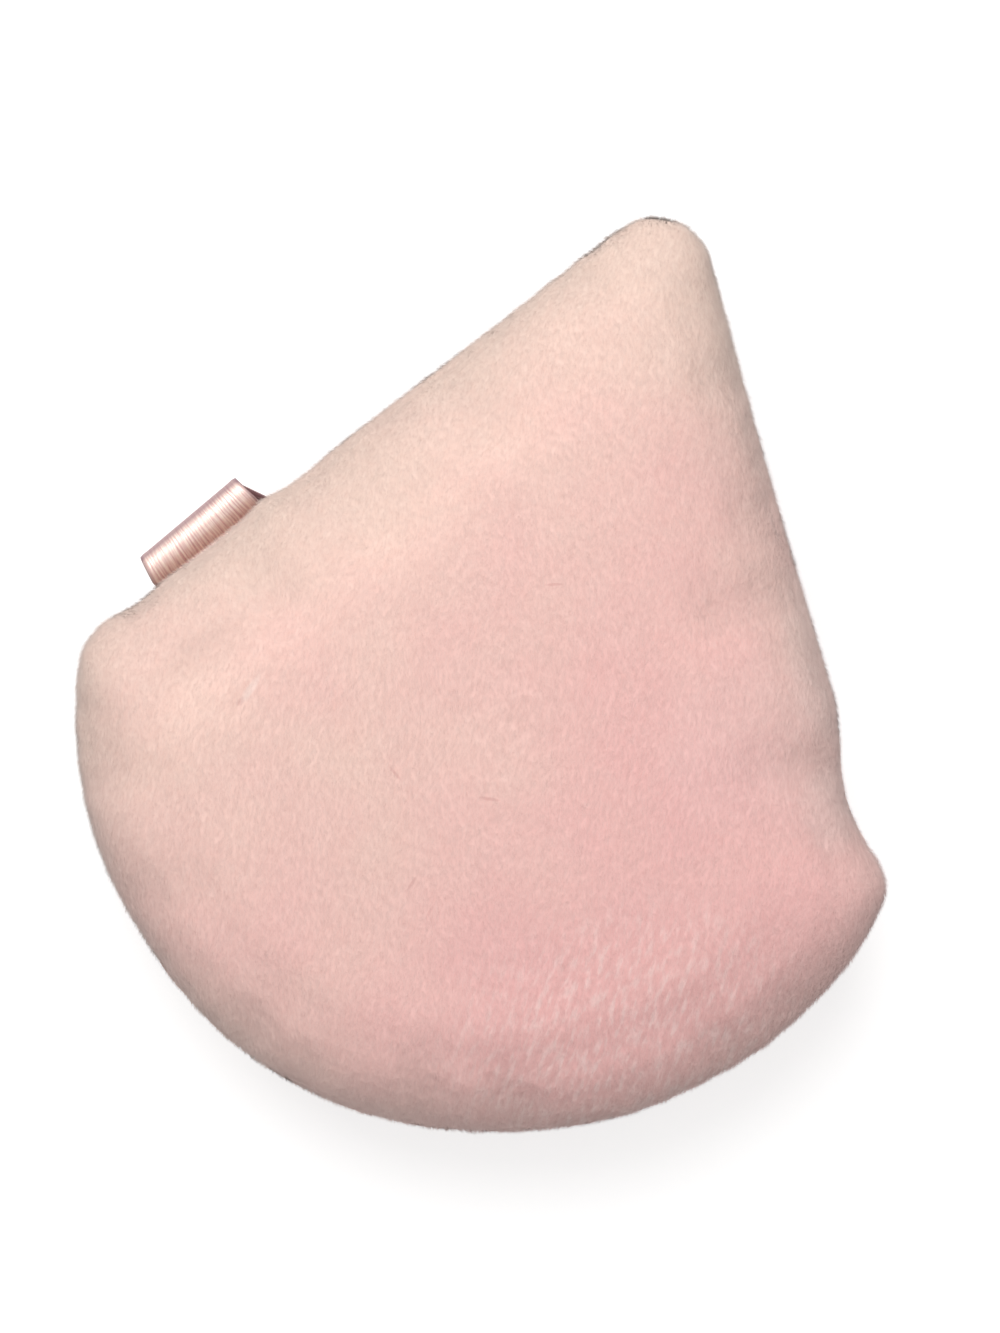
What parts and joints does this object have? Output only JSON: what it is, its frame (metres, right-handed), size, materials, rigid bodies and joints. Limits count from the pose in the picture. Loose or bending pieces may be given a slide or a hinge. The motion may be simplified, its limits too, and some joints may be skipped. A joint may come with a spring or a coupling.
{
  "type": "powder puff",
  "caption": "Drop-shaped velour powder puff: two sewn covers over a foam core, with a satin finger strap across its back held in both side seams.",
  "frame": {"origin": "on the surface the puff lies on, under the middle of its outline, with the strap pressed flat beneath it", "axes": "+Z out of the powdering face, +Y towards the tip, +X to the right seen from above"},
  "size_m": [0.0666, 0.075, 0.0195],
  "materials": {
    "velour_front": "short dense velour pile",
    "velour_back": "short dense velour pile",
    "foam": "open-cell foam",
    "satin": "glossy satin weave",
    "thread": "twisted sewing thread"
  },
  "bodies": {
    "pad": {"front_cover": "velour_front", "back_cover": "velour_back", "foam_core": "foam", "seam_needle_thread": "thread", "seam_bobbin_thread": "thread", "closing_thread": "thread"},
    "strap": {"strap": "satin"}
  },
  "joints": [
    {"name": "strap_lift", "type": "slide", "parent": "pad", "child": "strap", "axis": [0, 0, -1], "range_m": [0, 0.008], "deforming": ["strap"]}
  ]
}
